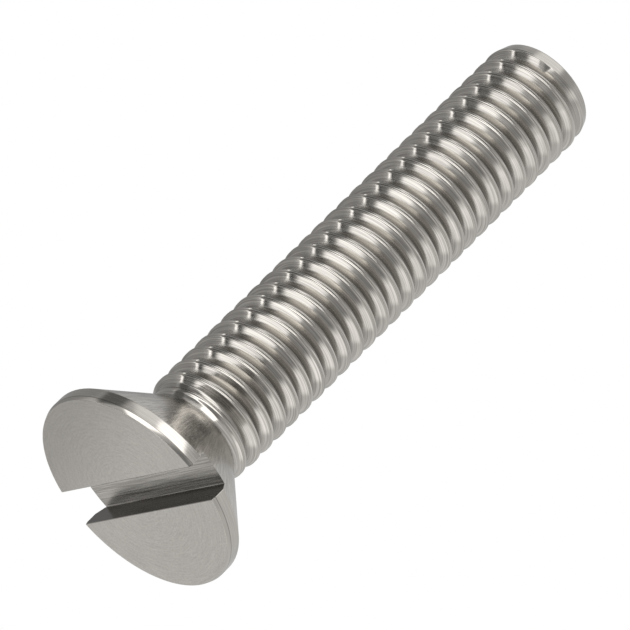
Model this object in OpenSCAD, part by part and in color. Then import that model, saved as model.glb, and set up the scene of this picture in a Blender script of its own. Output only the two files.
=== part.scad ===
// Slotted countersunk machine screw, 32 threads to the inch, one inch long over all.
// It stands on its flat head: the face lies on z = 0 and the shank points up along +Z.
// All sizes are in millimetres.

/* [Head] */
// Diameter of the straight rim round the head
head_d = 8.78; // [7.4:0.02:9.6]
// Height of the small bevel between the face and the rim
bevel_h = 0.16; // [0.04:0.01:0.3]
// Width of that bevel, measured along the radius
bevel_w = 0.065; // [0.02:0.005:0.2]
// Height of the straight rim above the bevel
rim_h = 0.46; // [0.1:0.01:0.8]
// Full angle of the cone under the head
cone_angle = 82; // [75:1:100]

/* [Slot] */
// Width of the sawn slot
slot_w = 1.51; // [0.8:0.01:2]
// Depth of the slot, from the face
slot_depth = 1.01; // [0.5:0.01:1.3]
// How far the slot's middle lies from the screw's axis
slot_shift = 0.13; // [0:0.01:0.2]

/* [Shank] */
// Length over all, from the face to the tip
length = 25.4; // [12:0.1:40]
// Outside diameter over the thread's crests
major_d = 4.65; // [4:0.01:5.2]
// Distance from one crest to the next
pitch = 0.794; // [0.6:0.001:1.1]
// Angle between the two flanks of the thread
flank_angle = 60; // [50:1:62]
// Height of the plain neck between the cone and the thread's first crest
neck_h = 0.12; // [0.05:0.01:1]
// Turns over which the thread grows from the neck to its full height
runout_turns = 0.8; // [0.5:0.1:2]
// Direction in which the thread begins, in degrees from the slot
start_turn = -88; // [-180:1:180]

/* [Tip] */
// How far the slight taper at the tip draws the thread in, along the radius
tip_w = 0.17; // [0.02:0.01:0.3]
// Height of that taper
tip_h = 0.57; // [0.2:0.01:1]
// Turns over which the last groove dies out
tip_fade_turns = 0.75; // [0.4:0.05:1.5]

/* [Hidden] */
$fn = 96;

head_r = head_d / 2;
major_r = major_d / 2;
tip_r = major_r - tip_w;

// Proportions of a 60 degree thread, as shares of the pitch
blank_share = 0.325;
depth_share = 0.613;
crest_share = 0.125;

// A rolled thread starts from a plain shank as thick as the pitch diameter
neck_r = major_r - blank_share * pitch;
root_r = major_r - depth_share * pitch;
crest_half = crest_share * pitch / 2;
flank_slope = tan(flank_angle / 2);
root_half = pitch / 2 - crest_half - (major_r - root_r) * flank_slope;

// Least run along the axis that a flank keeps where it has no height
least_run = crest_half + root_half / 2;

rim_top = bevel_h + rim_h;
cone_slope = tan(cone_angle / 2);
neck_z = rim_top + (head_r - neck_r) / cone_slope;
cone_sink = 0.1;
start_z = neck_z + neck_h;

// The thread is swept in small steps, from two turns below its start, where the head hides it
turn_steps = 36;
sunk_turns = 2;
profile_points = 4;
past_end = pitch;
all_turns = sunk_turns + (length + past_end - start_z) / pitch;
last_step = ceil(all_turns * turn_steps);

// Where a groove starts behind its crest, and the turns it takes to reach full depth
groove_lag = 0.45;
groove_turns = 0.45;

// The last groove has died out halfway up the taper, so that a plain ring ends the screw
fade_end_z = length - tip_h / 2;
tip_slope = tip_w / tip_h;
cut_margin = 1;

// Smooth step from 0 to 1
function ease(x) = x <= 0 ? 0 : x >= 1 ? 1 : x * x * (3 - 2 * x);

// Fast rise from 0 that levels off at 1
function rise(x) = x <= 0 ? 0 : x >= 1 ? 1 : 1 - (1 - x) * (1 - x);

// Turns since the thread's start, at one step of the sweep
function turns_at(step) = step / turn_steps - sunk_turns;

// Height of the middle of the crest after so many turns
function crest_z(turns) = start_z + pitch * turns;

// Radius of the crest after so many turns
function crest_radius(turns) = neck_r + (major_r - neck_r) * rise(turns / runout_turns);

// Radius of the groove's floor as it deepens from the neck on
function new_groove_radius(turns) =
    neck_r - (neck_r - root_r) * ease((turns - groove_lag) / groove_turns);

// Share of its depth that the groove still has near the tip
function groove_left(turns) =
    ease((fade_end_z - crest_z(turns)) / (tip_fade_turns * pitch));

// Radius of the groove's floor, which rises to the crests before the tip
function groove_radius(turns) =
    major_r - (major_r - new_groove_radius(turns)) * groove_left(turns);

// No point stands proud of the taper at the tip
function within_tip(r, z) = min(r, tip_r + (length - z) * tip_slope);

// One point of the sweep, from its angle, radius and height
function swept(angle, r, z) = [
    within_tip(r, z) * cos(angle),
    within_tip(r, z) * sin(angle),
    z
];

// Run of a flank along the axis, from its height
function flank_run(height) = max(least_run, height * flank_slope);

// The four points of the profile at one step: groove edge, two crest edges, groove edge.
// The groove past the crest places it, so a shallow groove is narrow, as a rolled one is.
function profile(turns) =
    let (
        a = start_turn + 360 * turns,
        r = crest_radius(turns),
        foot = crest_z(turns) + pitch / 2 - root_half,
        high = foot - flank_run(r - new_groove_radius(turns + 0.5)),
        low = high - 2 * crest_half
    )
    [
        swept(a, groove_radius(turns - 0.5), low - flank_run(r - new_groove_radius(turns - 0.5))),
        swept(a, r, low),
        swept(a, r, high),
        swept(a, groove_radius(turns + 0.5), foot)
    ];

// Number of the point at one step and one place in the profile, where place 4 is one turn on
function at(step, place) = place < profile_points
    ? step * profile_points + place
    : (step + turn_steps) * profile_points + place - profile_points;

// Two triangles between two steps and two places
function patch(step, place) = [
    [at(step, place), at(step, place + 1), at(step + 1, place + 1)],
    [at(step, place), at(step + 1, place + 1), at(step + 1, place)]
];

// Flat-faced head with its bevel, rim and cone, whose point is sunk in the shank
module head() {
    rotate_extrude()
        polygon([
            [0, 0],
            [head_r - bevel_w, 0],
            [head_r, bevel_h],
            [head_r, rim_top],
            [neck_r - cone_sink, neck_z + cone_sink / cone_slope],
            [0, neck_z + cone_sink / cone_slope]
        ]);
}

// Shank with its helical thread, closed by a fan of triangles at each end
module threaded_shank() {
    points = [for (step = [0:last_step]) each profile(turns_at(step))];
    low = len(points);
    high = low + 1;
    top_step = last_step - turn_steps;
    sides = [
        for (step = [0:last_step - 1], place = [0:profile_points - 2])
            each patch(step, place)
    ];
    grooves = [
        for (step = [0:top_step - 1]) each patch(step, profile_points - 1)
    ];
    low_fan = [for (step = [0:turn_steps - 1]) [low, at(step, 0), at(step + 1, 0)]];
    low_side = [
        for (place = [0:profile_points - 1]) [low, at(0, place + 1), at(0, place)]
    ];
    high_fan = [
        for (step = [top_step:last_step - 1])
            [high, at(step + 1, profile_points - 1), at(step, profile_points - 1)]
    ];
    high_side = [
        for (place = [0:profile_points - 2])
            [high, at(last_step, place), at(last_step, place + 1)]
    ];
    high_join = [[high, at(top_step, profile_points - 1), at(last_step, 0)]];
    polyhedron(
        points = concat(
            points,
            [[0, 0, crest_z(turns_at(0))], [0, 0, crest_z(turns_at(last_step))]]
        ),
        faces = concat(sides, grooves, low_fan, low_side, high_fan, high_side, high_join)
    );
}

// Block that saws the driver slot right across the head
module slot_cut() {
    translate([-head_d, slot_shift - slot_w / 2, -cut_margin])
        cube([2 * head_d, slot_w, cut_margin + slot_depth]);
}

// Block that leaves the tip flat at the screw's length
module tip_cut() {
    translate([0, 0, length])
        cylinder(r = major_d, h = 3 * pitch + cut_margin);
}

// The whole screw, turned from one piece
module screw() {
    color("silver")
        difference() {
            union() {
                head();
                threaded_shank();
            }
            slot_cut();
            tip_cut();
        }
}

screw();
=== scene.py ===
"""Slotted countersunk machine screw in satin stainless steel, on its head in a small studio."""

import math

import bpy
import numpy as np
from mathutils import Matrix, Vector


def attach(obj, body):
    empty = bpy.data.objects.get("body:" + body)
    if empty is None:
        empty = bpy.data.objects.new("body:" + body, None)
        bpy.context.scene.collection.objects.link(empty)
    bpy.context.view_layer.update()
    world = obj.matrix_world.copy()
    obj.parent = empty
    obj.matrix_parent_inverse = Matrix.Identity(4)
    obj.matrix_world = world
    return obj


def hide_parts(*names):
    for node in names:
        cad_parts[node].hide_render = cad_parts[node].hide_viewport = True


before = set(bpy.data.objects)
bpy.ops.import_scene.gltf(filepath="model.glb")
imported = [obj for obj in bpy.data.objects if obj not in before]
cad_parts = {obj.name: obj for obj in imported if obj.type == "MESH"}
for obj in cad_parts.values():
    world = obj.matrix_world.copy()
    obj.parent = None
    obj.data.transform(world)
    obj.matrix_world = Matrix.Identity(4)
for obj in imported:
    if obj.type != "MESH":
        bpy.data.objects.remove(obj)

bl_info = {
    "name": "Countersunk Screw",
    "version": (1, 0, 0),
    "blender": (4, 5, 0),
    "location": "View3D > Sidebar > Screw",
    "description": "Builds a slotted countersunk screw with its thread, its steel and its studio",
    "category": "Add Mesh",
}

MM, MICROMETRE = 1e-3, 1e-6
FULL_TURN = 2 * math.pi
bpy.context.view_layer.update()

# Size in millimetres of the grain in which points are one, and the angle from which an edge is sharp
WELD_GRAIN = 1e-5
SHARP_ANGLE = math.radians(35)


# Settings


def length_property(name, description, millimetres):
    """A size in metres, shown as a length, from its value in millimetres."""
    return bpy.props.FloatProperty(
        name=name, description=description, default=millimetres * MM, min=0, unit="LENGTH", precision=6
    )


class ScrewSizes(bpy.types.PropertyGroup):
    """Sizes of the screw, the same as the solid's."""

    head_d: length_property("Head diameter", "Diameter of the rim round the head", 8.78)
    bevel_h: length_property("Bevel height", "Height of the bevel between the face and the rim", 0.16)
    bevel_w: length_property("Bevel width", "Width of that bevel along the radius", 0.065)
    rim_h: length_property("Rim height", "Height of the straight rim above the bevel", 0.46)
    cone_angle: bpy.props.FloatProperty(
        name="Cone angle", description="Full angle of the cone under the head",
        default=math.radians(82), min=0.5, max=2.5, subtype="ANGLE",
    )
    slot_w: length_property("Slot width", "Width of the sawn slot", 1.51)
    slot_depth: length_property("Slot depth", "Depth of the slot from the face", 1.01)
    slot_shift: length_property("Slot shift", "Distance from the axis to the slot's middle", 0.13)
    length: length_property("Length", "Length over all, from the face to the tip", 25.4)
    major_d: length_property("Thread diameter", "Diameter over the thread's crests", 4.65)
    pitch: length_property("Pitch", "Distance from one crest to the next", 0.794)
    neck_h: length_property("Neck height", "Plain neck between the cone and the first crest", 0.12)
    tip_w: length_property("Tip taper width", "How far the tip's taper draws the thread in", 0.17)
    tip_h: length_property("Tip taper height", "Height of the taper at the tip", 0.57)
    start_turn: bpy.props.FloatProperty(
        name="Thread start", description="Direction in which the thread begins, from the slot",
        default=math.radians(-88), subtype="ANGLE",
    )
    runout_turns: bpy.props.FloatProperty(
        name="Run-out", description="Turns over which the thread grows to its full height",
        default=0.8, min=0.1,
    )


class SteelFinish(bpy.types.PropertyGroup):
    """Colour and polish of the stainless steel."""

    colour: bpy.props.FloatVectorProperty(
        name="Steel", description="Colour of the bare steel",
        default=(0.57, 0.545, 0.507), min=0.0, max=1.0, size=3, subtype="COLOR",
    )
    # Dark steel is the colour of the painted shade on the face, the end, the cone, the slot and the
    # thread's grooves, and of the dark line where the rim meets the bevel
    dark_colour: bpy.props.FloatVectorProperty(
        name="Dark steel", description="Colour of the steel for its painted shade and the rim's dark line",
        default=(0.16, 0.151, 0.137), min=0.0, max=1.0, size=3, subtype="COLOR",
    )
    grain: bpy.props.FloatProperty(
        name="Grain", description="Height of the tool marks, as a share of the usual one",
        default=1.0, min=0.0, max=4.0, subtype="FACTOR",
    )


class StudioSettings(bpy.types.PropertyGroup):
    """Camera, light and background."""

    focal_length: bpy.props.FloatProperty(
        name="Focal length", description="Focal length of the lens",
        default=391.578, min=1.0, unit="CAMERA",
    )
    tent_level: bpy.props.FloatProperty(
        name="Tent", description="Brightness of the light tent between its cards", default=0.59, min=0.0,
    )
    lamp_level: bpy.props.FloatProperty(
        name="Lamp", description="Brightness of the soft lamp above the floor", default=2.5, min=0.0,
    )
    backdrop: bpy.props.FloatVectorProperty(
        name="Backdrop", description="Colour of the background and the floor",
        default=(1.0, 1.0, 1.0), min=0.0, max=1.0, size=3, subtype="COLOR",
    )


# Shapes


def ease(x):
    """Smooth step: 3 x^2 - 2 x^3 between 0 and 1, level outside."""
    x = np.clip(x, 0, 1)
    return x * x * (3 - 2 * x)


def rise(x):
    """Fast rise that levels off: 1 - (1 - x)^2 between 0 and 1, level outside."""
    return 1 - (1 - np.clip(x, 0, 1)) ** 2


def rounded(points, radii, steps):
    """Polyline with each inner corner replaced by a circular arc of its radius.

    The arc's centre lies on the corner's bisector at radius / sin(half the corner's
    angle), and its points are swept evenly between the two tangent points.
    """
    points = np.asarray(points, float)
    back = points[:-2] - points[1:-1]
    ahead = points[2:] - points[1:-1]
    back /= np.linalg.norm(back, axis=1)[:, None]
    ahead /= np.linalg.norm(ahead, axis=1)[:, None]
    half = np.arccos(np.clip((back * ahead).sum(1), -1, 1)) / 2
    radii = np.broadcast_to(np.asarray(radii, float), half.shape)
    middle = (back + ahead) / np.linalg.norm(back + ahead, axis=1)[:, None]
    across = (back - ahead) / np.linalg.norm(back - ahead, axis=1)[:, None]
    centre = points[1:-1] + middle * (radii / np.sin(half))[:, None]
    turn = (np.pi / 2 - half)[:, None] * np.linspace(1, -1, steps)
    arcs = (
        centre[:, None]
        - middle[:, None] * (radii[:, None] * np.cos(turn))[..., None]
        + across[:, None] * (radii[:, None] * np.sin(turn))[..., None]
    )
    return np.concatenate([points[:1], arcs.reshape(-1, 2), points[-1:]])


def round_points(radius, angle, height):
    """Points at a radius and an angle round the axis: (r cos a, r sin a, z)."""
    radius, angle, height = np.broadcast_arrays(radius, angle, height)
    return np.stack([radius * np.cos(angle), radius * np.sin(angle), height], -1)


def grid_faces(rows, columns):
    """Quads of a grid of points, numbered row by row."""
    row, column = np.meshgrid(np.arange(rows - 1), np.arange(columns - 1), indexing="ij")
    first = (row * columns + column).ravel()
    return np.stack([first, first + 1, first + columns + 1, first + columns], 1)


class Skin:
    """Collects grids of points and welds them into one closed mesh."""

    def __init__(self):
        self.points, self.faces, self.zones, self.count = [], [], [], 0

    def add(self, points, faces, zone, flipped=False):
        """Adds points and the quads between them, flipped if asked, in a zone of the finish."""
        points = np.asarray(points, float).reshape(-1, 3)
        faces = np.asarray(faces) + self.count
        self.points.append(points)
        self.faces.append(faces[:, ::-1] if flipped else faces)
        self.zones.append(np.full(len(faces), zone))
        self.count += len(points)

    def add_grid(self, points, zone, flipped=False):
        """Adds a grid of points, rows x columns x 3."""
        self.add(points, grid_faces(*points.shape[:2]), zone, flipped)

    def welded(self):
        """Points in one place become one, and a quad that this closes becomes a triangle or goes."""
        points, faces, zones = map(np.concatenate, (self.points, self.faces, self.zones))
        places = np.round(points / WELD_GRAIN).astype(np.int64)
        _, first, which = np.unique(places, axis=0, return_index=True, return_inverse=True)
        points, faces = points[first], which.reshape(-1)[faces]
        closed = faces == np.roll(faces, -1, axis=1)
        quads, triangles = closed.sum(1) == 0, closed.sum(1) == 1
        corners = np.concatenate([faces[quads].ravel(), faces[triangles][~closed[triangles]]])
        sides = np.repeat([4, 3], [quads.sum(), triangles.sum()])
        return points, corners, sides, np.concatenate([zones[quads], zones[triangles]])


def mesh_object(name, skin, materials):
    """One object at the origin from a skin in millimetres, with its zones' materials."""
    points, corners, sides, zones = skin.welded()
    mesh = bpy.data.meshes.new(name)
    mesh.vertices.add(len(points))
    mesh.vertices.foreach_set("co", (points * MM).astype(np.float32).ravel())
    mesh.loops.add(len(corners))
    mesh.loops.foreach_set("vertex_index", corners.astype(np.int32))
    mesh.polygons.add(len(sides))
    mesh.polygons.foreach_set("loop_start", (np.cumsum(sides) - sides).astype(np.int32))
    mesh.polygons.foreach_set("material_index", zones.astype(np.int32))
    mesh.update(calc_edges=True)
    if mesh.validate():
        raise RuntimeError(f"{name} has faces that Blender had to mend")
    mesh.shade_smooth()
    mesh.set_sharp_from_angle(angle=SHARP_ANGLE)
    for material in materials:
        mesh.materials.append(material)
    obj = bpy.data.objects.new(name, mesh)
    bpy.context.scene.collection.objects.link(obj)
    return obj


# Zones of the finish, in the order of the object's material slots
ZONES = ("face", "rim", "cone", "slot", "thread", "end")
FACE, RIM, CONE, SLOT, THREAD, END = range(len(ZONES))

# Columns round the screw: a slot's end, an eased edge, a side of the head, an eased edge, twice
SLOT_COLUMNS, EASED_COLUMNS, SIDE_COLUMNS = 7, 1, 45
COLUMNS = 2 * (SLOT_COLUMNS + 2 * EASED_COLUMNS + SIDE_COLUMNS)

# Points along an arc of the head, along one of the neck and the tip, and along a thread's corner
HEAD_ARC, NECK_ARC, CORNER_ARC = 5, 6, 4

# Lines across the flat face, up the cone, across the seam and over the flat end
FACE_LINES, CONE_LINES, SEAM_LINES, END_LINES = 9, 16, 9, 9

# Shares of the pitch in a 60 degree thread, and its flanks' run to their height
BLANK_SHARE, DEPTH_SHARE, CREST_SHARE = 0.325, 0.613, 0.125
FLANK_SLOPE = math.tan(math.radians(30))

# Turns by which the groove starts behind its crest, deepens, and dies out at the tip
GROOVE_LAG, GROOVE_TURNS, FADE_TURNS = 0.45, 0.45, 0.75

# Turns that the helix begins below the thread's start, and runs on past the tip
TURNS_BELOW, TURNS_PAST = 2, 1.6

# In millimetres: height over the cone where it meets the thread, depth below the tip where the
# thread meets the end, and depth below the neck from which the cone's columns lie evenly
JOIN_RISE, END_DROP, EVEN_DROP = 0.06, 0.07, 0.2

# In millimetres: the eased edges beside the slot, the height in which they fade out over its
# floor, and the fillet along the floor, with its two inner lines' shares of it
EASED, EASED_FADE, FILLET = 0.02, 0.1, 0.04
FILLET_NEAR, FILLET_FAR = 1 - math.cos(math.radians(30)), 1 - math.sin(math.radians(30))

# Radii in millimetres: the rim's top, the bevel's top and the face's edge, the neck and the tip
HEAD_RADII, NECK_RADIUS, END_RADIUS = (0.06, 0.03, 0.02), 0.12, 0.06

# The rolled thread, in millimetres: how far each corner of its profile moves along the radius and
# the axis, how far the corner's rounding reaches, and the depth and form of the crest's seam
ROLLED = np.array([[0.05, -0.05], [0, -0.02], [0, 0.06], [0.05, 0.02]])
CORNER_REACH = np.array([0.03, 0.034, 0.034, 0.03])
SEAM_DEPTH, SEAM_POWER = 0.04, 1.6


class ScrewForm:
    """The screw's sizes in millimetres, and what follows from them."""

    def __init__(self, sizes):
        for name in ScrewSizes.__annotations__:
            value = getattr(sizes, name)
            is_length = name not in ("cone_angle", "start_turn", "runout_turns")
            setattr(self, name, value / MM if is_length else value)
        self.slope = math.tan(self.cone_angle / 2)
        self.head_r = self.head_d / 2
        self.face_r = self.head_r - self.bevel_w
        self.rim_top = self.bevel_h + self.rim_h
        self.floor_r = self.head_r - (self.slot_depth - self.rim_top) * self.slope
        self.major_r = self.major_d / 2
        self.neck_r = self.major_r - BLANK_SHARE * self.pitch
        self.root_r = self.major_r - DEPTH_SHARE * self.pitch
        self.neck_z = self.rim_top + (self.head_r - self.neck_r) / self.slope
        self.join_z = self.neck_z + JOIN_RISE
        self.start_z = self.neck_z + self.neck_h
        self.top_z = self.length - END_DROP
        self.slot_low = self.slot_shift - self.slot_w / 2
        self.slot_high = self.slot_shift + self.slot_w / 2
        self.crest_half = CREST_SHARE * self.pitch / 2
        self.root_half = self.pitch / 2 - self.crest_half - (self.major_r - self.root_r) * FLANK_SLOPE
        self.least_run = self.crest_half + self.root_half / 2

    def tip_radius(self, z):
        """Radius of the taper at the tip, on which no point stands proud."""
        return self.major_r - self.tip_w + (self.length - z) * self.tip_w / self.tip_h

    def crest_radius(self, turns):
        """Crest: from the neck's radius to the full one over the run-out."""
        return self.neck_r + (self.major_r - self.neck_r) * rise(turns / self.runout_turns)

    def new_groove_radius(self, turns):
        """Groove as it deepens behind the start, from the neck's radius to the root's."""
        return self.neck_r - (self.neck_r - self.root_r) * ease((turns - GROOVE_LAG) / GROOVE_TURNS)

    def groove_radius(self, turns):
        """Groove that also rises to the crests again at the tip."""
        to_end = self.length - self.tip_h / 2 - self.start_z - self.pitch * turns
        left = ease(to_end / (FADE_TURNS * self.pitch))
        return self.major_r - (self.major_r - self.new_groove_radius(turns)) * left

    def flank_run(self, height):
        """Run of a flank along the axis: height x tan 30, and no less than a small run."""
        return np.maximum(self.least_run, height * FLANK_SLOPE)

    def profile(self, turns):
        """Radius and height of the thread's four corners: groove edge, crest edges, groove edge.

        The groove past the crest places it, so a shallow groove is narrow, as a rolled one is.
        """
        crest = self.crest_radius(turns)
        foot = self.start_z + self.pitch * (turns + 0.5) - self.root_half
        high = foot - self.flank_run(crest - self.new_groove_radius(turns + 0.5))
        low = high - 2 * self.crest_half
        below = low - self.flank_run(crest - self.new_groove_radius(turns - 0.5))
        radius = [self.groove_radius(turns - 0.5), crest, crest, self.groove_radius(turns + 0.5)]
        return np.stack([np.stack(radius), np.stack([below, low, high, foot])], -1)


def slot_lines(form):
    """The y of each line along the slot's floor: its corners, the fillets' feet and even ones."""
    between = np.linspace(form.slot_low + FILLET, form.slot_high - FILLET, SLOT_COLUMNS - 1)
    return np.concatenate([[form.slot_low], between, [form.slot_high]])


def head_side(form):
    """Outline of the head's side from the slot's floor to the face, as radii and heights."""
    corners = [
        [form.floor_r, form.slot_depth],
        [form.head_r, form.rim_top],
        [form.head_r, form.bevel_h],
        [form.face_r, 0],
        [0, 0],
    ]
    side = rounded(corners, HEAD_RADII, HEAD_ARC)[:-1]
    fillet_foot = [form.floor_r + FILLET * form.slope, form.slot_depth - FILLET]
    return np.insert(side, 1, fillet_foot, axis=0)


def add_half(skin, form, edge, sign):
    """Half of the head, beside the slot's wall at y = edge: side, face, wall and eased edges.

    At radius r the side runs in even steps from the angle asin(cut / r), where the eased edge
    begins, to 180 degrees less that. The wall is the side's outline laid on the slot's plane,
    x = share x sqrt(r^2 - edge^2), where each column keeps its share of the rim's x.
    Gives these shares, and the fillet's line beside the floor.
    """
    side = head_side(form)
    cut = edge + sign * EASED
    start = np.arcsin(sign * cut / side[:, :1])
    angle = start + (math.pi - 2 * start) * np.linspace(0, 1, SIDE_COLUMNS + 1)
    half = round_points(side[:, :1], angle, side[:, 1:])
    half[..., 1] *= sign
    side_zone = np.where(side[:-1, 1] > form.rim_top, CONE, RIM)
    for row, zone in enumerate(side_zone):
        skin.add_grid(half[row:row + 2], zone, flipped=sign > 0)
    # Flat face, ruled from the rim straight to the slot's edge
    rim_x, rim_y, _ = half[-1].T
    ruled = rim_y + (cut - rim_y) * np.linspace(0, 1, FACE_LINES)[:, None]
    face = np.stack(np.broadcast_arrays(rim_x, ruled, 0.0), -1)
    skin.add_grid(face, FACE, flipped=sign > 0)
    # Wall of the slot, drawn in by the eased edge at its ends and at the face
    share = rim_x / rim_x[0]
    inset = EASED * np.clip((form.slot_depth - side[:, 1]) / EASED_FADE, 0, 1)
    reach = np.sqrt(side[:, 0] ** 2 - edge**2) - inset
    height = EASED + side[:, 1] * (1 - EASED / form.slot_depth)
    wall = np.stack(np.broadcast_arrays(reach[:, None] * share, float(edge), height[:, None]), -1)
    # Fillet between wall and floor, whose two inner lines meet at the corner on the cone
    low_line, high_line = wall[0].copy(), wall[0].copy()
    low_line[1:-1] -= [0, sign * FILLET_FAR * FILLET, FILLET_NEAR * FILLET]
    high_line[1:-1] -= [0, sign * FILLET_NEAR * FILLET, FILLET_FAR * FILLET]
    wall[0] = high_line
    skin.add_grid(np.stack([low_line, high_line]), SLOT, flipped=sign < 0)
    skin.add_grid(wall, SLOT, flipped=sign < 0)
    # Eased edge round the half, between its side and face and the wall
    outer = np.concatenate([half[:, 0], face[-1, 1:-1], half[::-1, -1]])
    inner = np.concatenate([wall[:, 0], wall[-1, 1:-1], wall[::-1, -1]])
    skin.add_grid(np.stack([outer, inner]), RIM, flipped=sign > 0)
    return share, low_line


def add_head(skin, form):
    """Head from the slot's floor to the face: both halves, and the floor between them.

    Each line of the floor ends on the cone: x = share x sqrt(floor_r^2 - y^2), where the shares
    go evenly from one wall's to the other's.
    """
    high_share, high_line = add_half(skin, form, form.slot_high, 1)
    low_share, low_line = add_half(skin, form, form.slot_low, -1)
    line_y = slot_lines(form)[:, None]
    share = low_share + (high_share - low_share) * (line_y - form.slot_low) / form.slot_w
    floor_x = np.sqrt(form.floor_r**2 - line_y**2) * share
    floor = np.stack(np.broadcast_arrays(floor_x, line_y, form.slot_depth), -1).copy()
    floor[0], floor[-1] = low_line, high_line
    skin.add_grid(floor, SLOT)


def ring_angles(form):
    """Angles of the ring at the slot's floor, which meets the slot, and of an even ring."""
    across = np.arcsin(slot_lines(form) / form.floor_r)
    low, high = across[0], across[-1]
    upper = math.asin((form.slot_high + EASED) / form.floor_r)
    lower = math.asin((form.slot_low - EASED) / form.floor_r)
    marks = [low, high, upper, math.pi - upper, math.pi - high, math.pi - low, math.pi - lower]
    marks += [FULL_TURN + lower, FULL_TURN + low]
    counts = 2 * [SLOT_COLUMNS, EASED_COLUMNS, SIDE_COLUMNS, EASED_COLUMNS]
    parts = [np.linspace(a, b, n + 1)[:-1] for a, b, n in zip(marks, marks[1:], counts)]
    # At both ends of the slot the angles are those of the floor's lines
    parts[0], parts[4] = across[:-1], math.pi - across[:0:-1]
    slotted = np.append(np.concatenate(parts), marks[-1])
    return slotted, low + FULL_TURN * np.arange(COLUMNS + 1) / COLUMNS


def whole(rings):
    """A grid of rings whose last column is its first."""
    rings[:, -1] = rings[:, 0]
    return rings


def add_cone(skin, form):
    """Cone from the slot's floor to the neck: its outline turned round the axis.

    The columns' angles go from those that meet the slot to even ones, by a smooth step.
    """
    corners = [
        [form.floor_r, form.slot_depth],
        [form.neck_r, form.neck_z],
        [form.neck_r, form.join_z],
    ]
    outline = rounded(corners, NECK_RADIUS, NECK_ARC)
    straight = np.linspace(outline[0], outline[1], CONE_LINES)
    outline = np.concatenate([straight[:-1], outline[1:]])
    slotted, even = ring_angles(form)
    even_z = form.neck_z - EVEN_DROP
    evened = ease((outline[:, 1:] - form.slot_depth) / (even_z - form.slot_depth))
    angle = np.where(evened < 1, slotted + (even - slotted) * evened, even)
    rings = whole(round_points(outline[:, :1], angle, outline[:, 1:]))
    skin.add_grid(rings, CONE)


def add_thread(skin, form):
    """Neck, thread and tip: a profile carried along a helix, and held between two rings.

    Along the helix the height grows by the pitch in each turn. Each corner P of the profile,
    with unit vectors b and a along its sides, is P + reach ((1 - t)^2 b + t^2 a), t in 0..1.
    The seam sinks by its depth times 1 - |2 s - 1|^power, with s from 0 to 1 across the crest.
    """
    _, even = ring_angles(form)
    first_turn = (even[0] - form.start_turn) / FULL_TURN - TURNS_BELOW
    last_turn = (form.top_z - form.start_z) / form.pitch + TURNS_PAST
    steps = np.arange(math.ceil((last_turn - first_turn) * COLUMNS) + 1)
    corner = form.profile(first_turn + steps / COLUMNS)
    raised = ((corner[1, :, 0] - form.neck_r) / (form.major_r - form.neck_r))[:, None]
    corner += raised * ROLLED[:, None]
    side = np.diff(corner, axis=0)
    side /= np.linalg.norm(side, axis=2, keepdims=True)
    along = np.broadcast_to([0.0, 1.0], side[:1].shape)
    back, ahead = -np.concatenate([along, side]), np.concatenate([side, along])
    t = np.linspace(0, 1, CORNER_ARC)[:, None, None]
    reach = CORNER_REACH[:, None, None, None]
    curve = corner[:, None] + reach * ((1 - t) ** 2 * back[:, None] + t**2 * ahead[:, None])
    # The rolled crest's seam, between the two rounded edges of the crest
    across = np.linspace(0, 1, SEAM_LINES)[1:-1, None, None]
    seam = curve[1, -1] + (curve[2, 0] - curve[1, -1]) * across
    seam[..., :1] -= SEAM_DEPTH * raised * (1 - np.abs(2 * across - 1) ** SEAM_POWER)
    curve = np.concatenate([curve[0], curve[1], seam, curve[2], curve[3]])
    radius, height = np.moveaxis(curve, 2, 0)
    height = np.clip(height, form.join_z, form.top_z)
    radius = np.minimum(radius, form.tip_radius(height))
    rows = round_points(radius, even[steps % COLUMNS], height)
    # The last row of a turn meets the first row of the next
    skin.add_grid(rows, THREAD)
    skin.add_grid(np.stack([rows[-1, :-COLUMNS], rows[0, COLUMNS:]]), THREAD)


def add_end(skin, form):
    """Flat end of the tip: its outline, with a small radius at the edge, turned round the axis."""
    top_r = form.tip_radius(form.top_z)
    end_r = form.tip_radius(form.length)
    corners = [[top_r, form.top_z], [end_r, form.length], [0, form.length]]
    outline = rounded(corners, END_RADIUS, NECK_ARC)
    inward = np.linspace(outline[-2], outline[-1], END_LINES)
    outline = np.concatenate([outline[:-1], inward[1:]])
    _, even = ring_angles(form)
    rings = whole(round_points(outline[:, :1], even, outline[:, 1:]))
    skin.add_grid(rings[:NECK_ARC], THREAD)
    skin.add_grid(rings[NECK_ARC - 1:], END)


# Finish


class Flow:
    """A socket of a node graph whose sums and products make the nodes that work them out."""

    def __init__(self, graph, socket):
        self.graph, self.socket = graph, socket

    def _maths(self, operation, first, second):
        kind = "ShaderNodeVectorMath" if self.socket.type == "VECTOR" else "ShaderNodeMath"
        return self.graph.node(kind, {"operation": operation}, [first, second])[0]

    def __add__(self, other):
        return self._maths("ADD", self, other)

    def __radd__(self, other):
        return self._maths("ADD", other, self)

    def __sub__(self, other):
        return self._maths("SUBTRACT", self, other)

    def __rsub__(self, other):
        return self._maths("SUBTRACT", other, self)

    def __mul__(self, other):
        return self._maths("MULTIPLY", self, other)

    def __rmul__(self, other):
        return self._maths("MULTIPLY", other, self)

    def __truediv__(self, other):
        return self._maths("DIVIDE", self, other)

    def __rtruediv__(self, other):
        return self._maths("DIVIDE", other, self)


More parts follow.
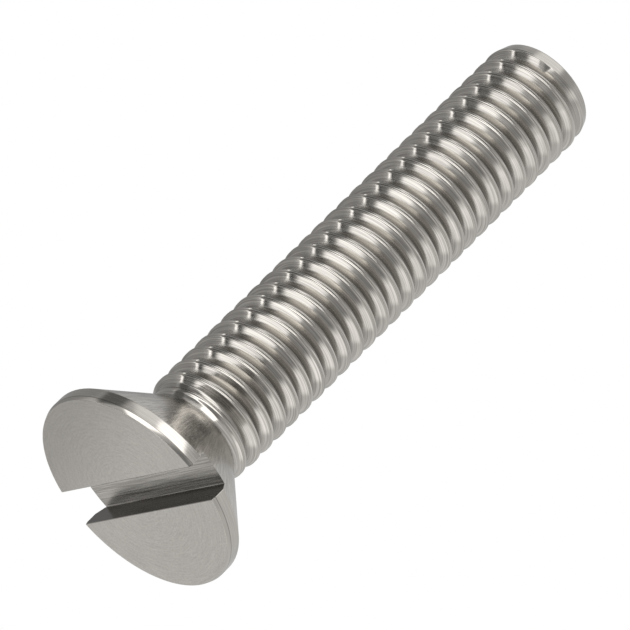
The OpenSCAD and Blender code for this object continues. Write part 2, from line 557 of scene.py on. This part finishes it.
class Graph:
    """The node graph of a new material or world, and the nodes that it needs most."""

    def __init__(self, owner):
        self.owner = owner
        owner.use_nodes = True
        self.tree = owner.node_tree
        self.tree.nodes.clear()

    def node(self, kind, settings=None, inputs=None):
        """Adds a node with its settings, then the values or links of its sockets."""
        made = self.tree.nodes.new(kind)
        for key, value in (settings or {}).items():
            setattr(made, key, value)
        sockets = inputs.items() if isinstance(inputs, dict) else enumerate(inputs or [])
        for key, value in sockets:
            if isinstance(value, Flow):
                self.tree.links.new(value.socket, made.inputs[key])
            else:
                made.inputs[key].default_value = value
        return [Flow(self, socket) for socket in made.outputs if socket.enabled]

    def maths(self, operation, *values):
        """One of the Math node's other operations."""
        return self.node("ShaderNodeMath", {"operation": operation}, list(values))[0]

    def place(self):
        """Object coordinates, in millimetres."""
        coordinates = self.node("ShaderNodeTexCoord")[3]
        return coordinates * (1 / MM, 1 / MM, 1 / MM)

    def dot(self, vector, direction):
        """Share of a vector along a direction."""
        settings = {"operation": "DOT_PRODUCT"}
        return self.node("ShaderNodeVectorMath", settings, [vector, tuple(direction)])[0]

    def smooth(self, value, low, high):
        """Smooth step from 0 at low to 1 at high, which may lie below low."""
        settings = {"interpolation_type": "SMOOTHSTEP"}
        return self.node("ShaderNodeMapRange", settings, [value, low, high, 0.0, 1.0])[0]

    def noise(self, x, y, z, detail=2.0):
        """Noise of three values, whose cells are one unit wide."""
        vector = self.node("ShaderNodeCombineXYZ", None, [x, y, z])[0]
        inputs = {"Vector": vector, "Scale": 1.0, "Detail": detail, "Roughness": 0.6}
        return self.node("ShaderNodeTexNoise", None, inputs)[0]

    def mix(self, share, first, second):
        """Colour between two colours."""
        return self.node("ShaderNodeMix", {"data_type": "RGBA"}, {0: share, 6: first, 7: second})[0]


class Spot:
    """Where a point of the screw lies: x, y and z in mm, its radius, and its angle's cosine and sine."""

    def __init__(self, graph, form):
        self.graph, self.form = graph, form
        self.x, self.y, self.z = graph.node("ShaderNodeSeparateXYZ", None, [graph.place()])
        self.radius = graph.maths("SQRT", self.x * self.x + self.y * self.y)
        self.cosine, self.sine = self.x / self.radius, self.y / self.radius

    def phase(self):
        """Cosine and sine of the thread's phase: 360 z / pitch, less the angle round the axis.

        The phase is the same along a whole helix, and 0 in the middle of the crest.
        """
        crest = FULL_TURN * self.form.start_z / self.form.pitch - self.form.start_turn
        angle = self.z * (FULL_TURN / self.form.pitch) - crest
        cosine, sine = self.graph.maths("COSINE", angle), self.graph.maths("SINE", angle)
        return cosine * self.cosine + sine * self.sine, sine * self.cosine - cosine * self.sine


# Each kind of tool mark is noise stretched along the tool's way. Its numbers are cells to a
# millimetre, or to a radius where it runs round the axis. Each function gives the marks, then
# how much darker than the rest a place is, as painted shade everywhere but the rim's dark line,
# and how much duller, with its limits in millimetres.


def facing_marks(graph, spot):
    """Rings that a facing tool leaves round the axis, with painted shade that darkens one side."""
    rings = graph.noise(spot.cosine * 5, spot.sine * 5, spot.radius * 17)
    grain = graph.noise(spot.x * 11, spot.y * 11, 0.0)
    # Painted shade: the face, and the end that shares these marks, grow darker towards one side
    painted_shade_reach, painted_shade_share = 4.2, 0.36
    to_side = spot.x * -0.45 - spot.y * 0.9
    painted_shade = graph.smooth(to_side, 0.0, painted_shade_reach) * painted_shade_share
    return rings * 0.5 + grain * 0.5, painted_shade, 0.0


def turning_marks(graph, spot):
    """Rings that a turning tool leaves along the rim, and a dark line where it meets the bevel."""
    rings = graph.noise(spot.cosine * 3, spot.sine * 3, spot.z * 26)
    line_edge, line_core, line_share = 0.022, 0.008, 0.6
    from_bevel = graph.maths("ABSOLUTE", spot.z - spot.form.bevel_h)
    return rings, graph.smooth(from_bevel, line_edge, line_core) * line_share, 0.0


def heading_marks(graph, spot):
    """Lines that the heading die leaves down the cone, with painted shade that darkens it towards the
    neck.
    """
    fine = graph.noise(spot.cosine * 46, spot.sine * 46, spot.z * 1.6)
    broad = graph.noise(spot.cosine * 9, spot.sine * 9, spot.z * 1.2)
    # Painted shade on the cone, deepest at the neck
    pale_radius, shade_radius, shade_share = 4.2, 3.0, 0.35
    darkness = graph.smooth(spot.radius, pale_radius, shade_radius) * shade_share
    return fine * 0.65 + broad * 0.35, darkness, 0.0


def sawing_marks(graph, spot):
    """Straight lines that the saw leaves along the slot, with painted shade, full on its walls and less
    on its floor.
    """
    lines = graph.noise(spot.x * 0.4, spot.y * 15, spot.z * 15, detail=3.0)
    # Painted shade in the slot: the walls take all of it, the floor a share
    foot, blend, floor_share = spot.form.slot_depth - FILLET, 0.03, 0.3
    wall = graph.smooth(spot.z, foot, foot - blend)
    return lines, wall * (1 - floor_share) + floor_share, 0.0


def rolling_marks(graph, spot):
    """Lines that the rolling die leaves along the helix, and duller grooves with painted shade."""
    cosine, sine = spot.phase()
    lines = graph.noise(cosine * 5, sine * 5, spot.z * 6)
    crest_depth, groove_depth, plain_height, thread_height = 0.14, 0.40, 0.2, 0.8
    major_r, start_z = spot.form.major_r, spot.form.start_z
    # Painted shade deep in the grooves, which are also duller
    groove = graph.smooth(spot.radius, major_r - crest_depth, major_r - groove_depth)
    groove = groove * graph.smooth(spot.z, start_z + plain_height, start_z + thread_height)
    shade_share, dull_share = 0.6, 0.2
    return lines, groove * shade_share, groove * dull_share


# Each zone's marks, roughness and how much the marks change it, height of the marks in
# micrometres, how much they change the shade, and the anisotropy
FINISHES = {
    "face": (facing_marks, 0.30, 0.08, 0.5, 0.15, 0.3),
    "rim": (turning_marks, 0.13, 0.08, 0.7, 0.10, 0.2),
    "cone": (heading_marks, 0.20, 0.14, 2.4, 0.36, 0.0),
    "slot": (sawing_marks, 0.26, 0.12, 2.4, 0.42, 0.0),
    "thread": (rolling_marks, 0.10, 0.08, 0.8, 0.30, 0.0),
    "end": (facing_marks, 0.34, 0.10, 0.6, 0.12, 0.3),
}

# Marks at which the shade is at its darkest and at its palest
DARK_MARK, PALE_MARK = 0.25, 0.75


def shaded(colour, shade):
    """A colour made darker or paler, with full alpha."""
    return tuple(part * shade for part in colour) + (1.0,)


def steel(zone, form, finish):
    """Bare steel with the tool marks of its zone."""
    tool_marks, roughness, spread, height, contrast, anisotropy = FINISHES[zone]
    graph = Graph(bpy.data.materials.new(f"steel_{zone}"))
    marks, darkness, dullness = tool_marks(graph, Spot(graph, form))
    dark, pale = shaded(finish.colour, 1 - contrast), shaded(finish.colour, 1 + contrast)
    colour = graph.mix(graph.smooth(marks, DARK_MARK, PALE_MARK), dark, pale)
    # Painted shade: the steel goes towards the dark colour by the zone's darkness, which also draws the
    # rim's dark line
    colour = graph.mix(darkness, colour, shaded(finish.dark_colour, 1))
    inputs = {"Strength": 1.0, "Distance": height * MICROMETRE * finish.grain, "Height": marks}
    bump = graph.node("ShaderNodeBump", None, inputs)[0]
    shader = graph.node(
        "ShaderNodeBsdfPrincipled",
        None,
        {
            "Base Color": colour,
            "Metallic": 1.0,
            "Roughness": marks * spread + (roughness - spread / 2) + dullness,
            "Anisotropic": anisotropy,
            "Normal": bump,
        },
    )
    graph.node("ShaderNodeOutputMaterial", None, {"Surface": shader[0]})
    return graph.owner


class OBJECT_OT_make_screw(bpy.types.Operator):
    """Make the screw's skin and its steel, in place of the plain solid"""

    bl_idname = "object.make_countersunk_screw"
    bl_label = "Make Screw"

    def execute(self, context):
        form = ScrewForm(context.scene.screw_sizes)
        skin = Skin()
        for add in (add_head, add_cone, add_thread, add_end):
            add(skin, form)
        materials = [steel(zone, form, context.scene.steel_finish) for zone in ZONES]
        screw = mesh_object("screw_steel", skin, materials)
        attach(screw, "root")
        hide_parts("screw")
        return {"FINISHED"}


# Studio

# The camera's place and its three axes in the screw's frame, and the middle of the tent
CAMERA_PLACE = Vector((209.237, -68.014, -123.101)) * MM
RIGHT = Vector((0.569006, 0.555737, 0.606126))
UP = Vector((0.129054, -0.788295, 0.601611))
BACK = Vector((0.812143, -0.264097, -0.520265))
MIDDLE = Vector((0.0, 0.0, 12.0)) * MM

# The tent's radius and the columns and rows of its mesh
TENT_RADIUS = 170 * MM
TENT_COLUMNS, TENT_ROWS = 64, 32

# The floor's radius, the share of it within which it is full, and its depth under the face
FLOOR_RADIUS = 400 * MM
FLOOR_FULL_SHARE = 0.4
FLOOR_DROP = 0.005 * MM
FLOOR_COLUMNS, FLOOR_ROWS = 64, 2

# Colour of the light that the world gives
WORLD_LIGHT = (0.5, 0.5, 0.5, 1)

# Soft cards sewn to the tent, each over those before it: direction from the screw (right, up,
# towards the camera), half width, half height, tilt in degrees, softness of the edges, all as
# shares of the distance, and brightness, or None for an opening to the white background
CARDS = {
    "below_right": ((0.6, -0.72, -0.25), 0.9, 0.8, 0, 0.4, 0.68),
    "right": ((0.95, -0.25, -0.15), 0.55, 0.45, 0, 0.3, 0.70),
    "front": ((-0.05, -0.1, 1.0), 0.4, 0.3, 0, 0.25, 0.25),
    "front_low": ((-0.38, -0.64, 0.67), 0.38, 0.22, 0, 0.25, 0.3),
    "left": ((-0.93, -0.15, -0.3), 0.5, 0.5, 0, 0.3, 0.36),
    "left_upper": ((-0.85, 0.2, 0.45), 0.35, 0.3, 0, 0.2, 0.2),
    "left_box": ((-0.76, -0.26, 0.595), 0.33, 0.3, 30, 0.08, 1.5),
    "left_gap": ((-0.95, -0.1, 0.31), 0.05, 0.5, 35, 0.04, 0.12),
    "behind_left": ((-0.5, 0.45, -0.74), 0.6, 0.6, 0, 0.3, 0.32),
    "face_side": ((-0.62, -0.61, -0.49), 0.35, 0.35, 0, 0.2, 0.72),
    "ceiling": ((0.35, 0.93, 0.05), 0.5, 0.5, 0, 0.15, None),
    "shade_left": ((-0.364, 0.922, -0.129), 0.7, 0.23, 36, 0.15, 0.15),
    "shade_top": ((-0.2, 0.92, 0.33), 0.32, 0.13, -49, 0.08, 0.25),
    "shade_right": ((0.88, 0.43, 0.1), 0.2, 0.4, 0, 0.15, 0.40),
    "below": ((-0.07, -0.98, 0.2), 0.25, 0.34, 0, 0.25, 1.15),
    "below_front": ((0.1, -0.8, 0.59), 0.12, 0.1, 0, 0.15, 0.9),
    "left_strip": ((-0.965, -0.08, 0.235), 0.03, 0.5, 35, 0.03, 2.0),
    "softbox": ((0.04, 0.63, 0.775), 0.78, 0.28, 0, 0.1, 2.1),
    "softbox_end": ((0.42, 0.78, 0.46), 0.22, 0.15, 0, 0.1, 2.0),
}


def seen_from_camera(right, up, back):
    """Unit vector in the screw's frame from its shares along the camera's axes."""
    return (RIGHT * right + UP * up + BACK * back).normalized()


def card_axes(direction, tilt):
    """The card's own axes: outward, and across and up as tilted, in the screw's frame."""
    outward = seen_from_camera(*direction)
    across = (RIGHT - outward * RIGHT.dot(outward)).normalized()
    up = outward.cross(across)
    turn = math.radians(tilt)
    return (
        outward,
        across * math.cos(turn) + up * math.sin(turn),
        up * math.cos(turn) - across * math.sin(turn),
    )


def tent_material(level):
    """Glow of the tent from inside, with its cards and its openings.

    A card covers the points whose offsets along its two axes, as shares of the offset straight
    towards it, are under its half width and half height. Where the mask is 1, it takes the
    place of the glow and the opening that were there before it.
    """
    graph = Graph(bpy.data.materials.new("tent"))
    offset = graph.place() - tuple(MIDDLE / MM)
    nearest, well_ahead = 1.0, 10.0
    glow, opening = level, 0.0
    for direction, half_width, half_height, tilt, soft, card_level in CARDS.values():
        outward, across, up = card_axes(direction, tilt)
        ahead = graph.dot(offset, outward)
        distance = graph.maths("MAXIMUM", ahead, nearest)
        mask = graph.smooth(ahead, nearest, well_ahead)
        for axis, half in ((across, half_width), (up, half_height)):
            share = graph.maths("ABSOLUTE", graph.dot(offset, axis) / distance)
            mask = mask * graph.smooth(share, half + soft / 2, half - soft / 2)
        is_open, brightness = (1.0, level) if card_level is None else (0.0, card_level)
        glow = glow + mask * (brightness - glow)
        opening = opening + mask * (is_open - opening)
    light = graph.node("ShaderNodeEmission", None, {"Color": (1, 1, 1, 1), "Strength": glow})[0]
    clear = graph.node("ShaderNodeBsdfTransparent")[0]
    mixed = graph.node("ShaderNodeMixShader", None, [opening, light, clear])[0]
    graph.node("ShaderNodeOutputMaterial", None, {"Surface": mixed})
    graph.owner.cycles.emission_sampling = "NONE"
    return graph.owner


def floor_material(colour):
    """Pale floor that fades out at its edge, and is clear from below."""
    graph = Graph(bpy.data.materials.new("floor"))
    x, y, _ = graph.node("ShaderNodeSeparateXYZ", None, [graph.place()])
    from_middle = graph.maths("SQRT", x * x + y * y)
    behind = graph.node("ShaderNodeNewGeometry")[6]
    edge, full = FLOOR_RADIUS / MM, FLOOR_FULL_SHARE * FLOOR_RADIUS / MM
    shown = (1.0 - behind) * graph.smooth(from_middle, edge, full)
    matt = graph.node("ShaderNodeBsdfDiffuse", None, {"Color": (*colour, 1)})[0]
    clear = graph.node("ShaderNodeBsdfTransparent")[0]
    mixed = graph.node("ShaderNodeMixShader", None, [shown, clear, matt])[0]
    graph.node("ShaderNodeOutputMaterial", None, {"Surface": mixed})
    return graph.owner


def stage_object(name, points, faces, material, seen_by):
    """An object of the stage, from a grid of points, seen by camera or by gloss alone."""
    mesh = bpy.data.meshes.new(name)
    mesh.from_pydata(points.reshape(-1, 3).tolist(), [], faces.tolist())
    mesh.materials.append(material)
    obj = bpy.data.objects.new(name, mesh)
    bpy.context.scene.collection.objects.link(obj)
    for kind in ("camera", "diffuse", "glossy", "shadow", "transmission", "volume_scatter"):
        setattr(obj, f"visible_{kind}", kind == seen_by)


class SCENE_OT_make_screw_studio(bpy.types.Operator):
    """Set up the camera, the floor, the light tent, the lamp and the white background"""

    bl_idname = "scene.make_screw_studio"
    bl_label = "Make Studio"

    def execute(self, context):
        studio = context.scene.screw_studio
        self.add_camera(context, studio)
        self.add_world(context, studio)
        self.add_tent(studio)
        self.add_floor(studio)
        self.add_lamp(context, studio)
        return {"FINISHED"}

    def add_camera(self, context, studio):
        """Camera at the photograph's place."""
        camera = bpy.data.cameras.new("camera")
        camera.sensor_width = 36
        camera.lens = studio.focal_length
        camera.clip_start, camera.clip_end = 0.01, 10
        holder = bpy.data.objects.new("camera", camera)
        turn = Matrix((RIGHT, UP, BACK)).transposed().to_4x4()
        holder.matrix_world = Matrix.Translation(CAMERA_PLACE) @ turn
        context.scene.collection.objects.link(holder)
        context.scene.camera = holder

    def add_world(self, context, studio):
        """White where the camera, gloss and glass look, and a plain level for the light it gives."""
        world = bpy.data.worlds.new("studio")
        graph = Graph(world)
        rays = {ray.socket.name: ray for ray in graph.node("ShaderNodeLightPath")}
        looking = graph.maths("MAXIMUM", rays["Is Camera Ray"], rays["Is Glossy Ray"])
        looking = graph.maths("MAXIMUM", looking, rays["Is Transmission Ray"])
        lit = graph.node("ShaderNodeBackground", None, {"Color": WORLD_LIGHT})[0]
        seen = graph.node("ShaderNodeBackground", None, {"Color": (*studio.backdrop, 1)})[0]
        mixed = graph.node("ShaderNodeMixShader", None, [looking, lit, seen])[0]
        graph.node("ShaderNodeOutputWorld", None, {"Surface": mixed})
        context.scene.world = world
        context.scene.view_settings.view_transform = "Standard"

    def add_tent(self, studio):
        """Sphere round the screw, which only the steel's gloss sees."""
        turn = np.linspace(0, FULL_TURN, TENT_COLUMNS + 1)
        tip = np.linspace(0, math.pi, TENT_ROWS + 1)[:, None]
        points = round_points(TENT_RADIUS * np.sin(tip), turn, MIDDLE.z + TENT_RADIUS * np.cos(tip))
        faces = grid_faces(TENT_ROWS + 1, TENT_COLUMNS + 1)
        stage_object("tent", points, faces, tent_material(studio.tent_level), "glossy")

    def add_floor(self, studio):
        """Round floor under the screw, seen from above."""
        turn = np.linspace(0, FULL_TURN, FLOOR_COLUMNS + 1)
        outward = np.linspace(0, FLOOR_RADIUS, FLOOR_ROWS + 1)[:, None]
        points = round_points(outward, turn, -FLOOR_DROP)
        faces = grid_faces(FLOOR_ROWS + 1, FLOOR_COLUMNS + 1)[:, ::-1]
        stage_object("floor", points, faces, floor_material(studio.backdrop), "camera")

    def add_lamp(self, context, studio):
        """Soft square lamp over the floor, for its shadow."""
        side, height = 200 * MM, 250 * MM
        light = bpy.data.lights.new("lamp", "AREA")
        light.shape, light.size = "SQUARE", side
        light.energy = studio.lamp_level * math.pi * side * side
        lamp = bpy.data.objects.new("lamp", light)
        lamp.matrix_world = Matrix.Translation((0, 0, height))
        lamp.visible_camera = lamp.visible_glossy = False
        context.scene.collection.objects.link(lamp)


class VIEW3D_PT_screw(bpy.types.Panel):
    """Sidebar panel with the screw's sizes and its two makers."""

    bl_label = "Countersunk Screw"
    bl_space_type = "VIEW_3D"
    bl_region_type = "UI"
    bl_category = "Screw"

    def draw(self, context):
        scene = context.scene
        for group in (scene.screw_sizes, scene.steel_finish, scene.screw_studio):
            box = self.layout.box()
            for name in type(group).__annotations__:
                box.prop(group, name)
        self.layout.operator(OBJECT_OT_make_screw.bl_idname)
        self.layout.operator(SCENE_OT_make_screw_studio.bl_idname)


CLASSES = (
    ScrewSizes, SteelFinish, StudioSettings,
    OBJECT_OT_make_screw, SCENE_OT_make_screw_studio, VIEW3D_PT_screw,
)


def register():
    """Registers the classes and hangs the settings on the scene."""
    for kind in CLASSES:
        bpy.utils.register_class(kind)
    bpy.types.Scene.screw_sizes = bpy.props.PointerProperty(type=ScrewSizes)
    bpy.types.Scene.steel_finish = bpy.props.PointerProperty(type=SteelFinish)
    bpy.types.Scene.screw_studio = bpy.props.PointerProperty(type=StudioSettings)


def unregister():
    """Takes the settings and the classes away again."""
    del bpy.types.Scene.screw_studio
    del bpy.types.Scene.steel_finish
    del bpy.types.Scene.screw_sizes
    for kind in reversed(CLASSES):
        bpy.utils.unregister_class(kind)


def main():
    """Makes the screw and its studio."""
    register()
    bpy.ops.object.make_countersunk_screw()
    bpy.ops.scene.make_screw_studio()


if __name__ == "__main__":
    main()
